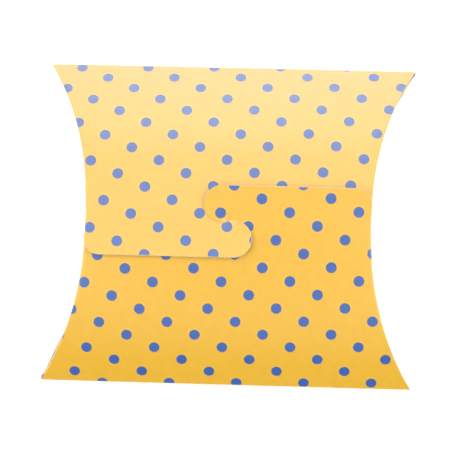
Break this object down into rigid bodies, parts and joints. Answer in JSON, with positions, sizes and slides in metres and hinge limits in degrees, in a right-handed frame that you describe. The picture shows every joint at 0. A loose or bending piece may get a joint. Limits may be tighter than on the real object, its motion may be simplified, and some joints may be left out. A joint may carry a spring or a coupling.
{
  "type": "pillow box",
  "caption": "Pillow-shaped card gift box, printed with small dots, with curved end flaps and a front closed by an interlocking S-shaped tab lock.",
  "frame": {"origin": "under the middle of the back panel, on the surface the box lies on", "axes": "+Z out of the locked front, +X along the two straight creases, +Y towards the upper front flap"},
  "size_m": [0.1454, 0.127, 0.0371],
  "materials": {
    "printed_card": "satin"
  },
  "bodies": {
    "back": {"back_panel": "printed_card"},
    "upper_front": {"upper_front_flap": "printed_card", "upper_lock_tab": "printed_card"},
    "lower_front": {"lower_front_flap": "printed_card", "lower_lock_tab": "printed_card"},
    "left_end": {"left_end_flap": "printed_card"},
    "right_end": {"right_end_flap": "printed_card"},
    "upper_left_tuck": {"upper_left_tuck_flap": "printed_card"},
    "upper_right_tuck": {"upper_right_tuck_flap": "printed_card"},
    "lower_left_tuck": {"lower_left_tuck_flap": "printed_card"},
    "lower_right_tuck": {"lower_right_tuck_flap": "printed_card"}
  },
  "joints": [
    {"name": "upper_front_fold", "type": "hinge", "parent": "back", "child": "upper_front", "pos_m": [0, 0.06346, 0.01772], "axis": [-1, 0, 0], "range_deg": [0, 100], "deforming": ["upper_lock_tab"]},
    {"name": "lower_front_fold", "type": "hinge", "parent": "back", "child": "lower_front", "pos_m": [0, -0.06346, 0.01772], "axis": [1, 0, 0], "range_deg": [0, 100], "deforming": ["lower_lock_tab"]},
    {"name": "left_end_fold", "type": "hinge", "parent": "back", "child": "left_end", "pos_m": [-0.0556, 0, 0], "axis": [0, -1, 0], "range_deg": [0, 44]},
    {"name": "right_end_fold", "type": "hinge", "parent": "back", "child": "right_end", "pos_m": [0.0556, 0, 0], "axis": [0, 1, 0], "range_deg": [0, 44]},
    {"name": "upper_left_tuck_fold", "type": "hinge", "parent": "upper_front", "child": "upper_left_tuck", "pos_m": [-0.05508, 0, 0.03565], "axis": [0, -1, 0], "range_deg": [0, 15]},
    {"name": "upper_right_tuck_fold", "type": "hinge", "parent": "upper_front", "child": "upper_right_tuck", "pos_m": [0.05508, 0, 0.03565], "axis": [0, 1, 0], "range_deg": [0, 15]},
    {"name": "lower_left_tuck_fold", "type": "hinge", "parent": "lower_front", "child": "lower_left_tuck", "pos_m": [-0.05508, 0, 0.03565], "axis": [0, -1, 0], "range_deg": [0, 15]},
    {"name": "lower_right_tuck_fold", "type": "hinge", "parent": "lower_front", "child": "lower_right_tuck", "pos_m": [0.05508, 0, 0.03565], "axis": [0, 1, 0], "range_deg": [0, 15]}
  ],
  "couplings": [
    {"joint": "lower_front_fold", "follows": "upper_front_fold", "ratio": 1}
  ]
}
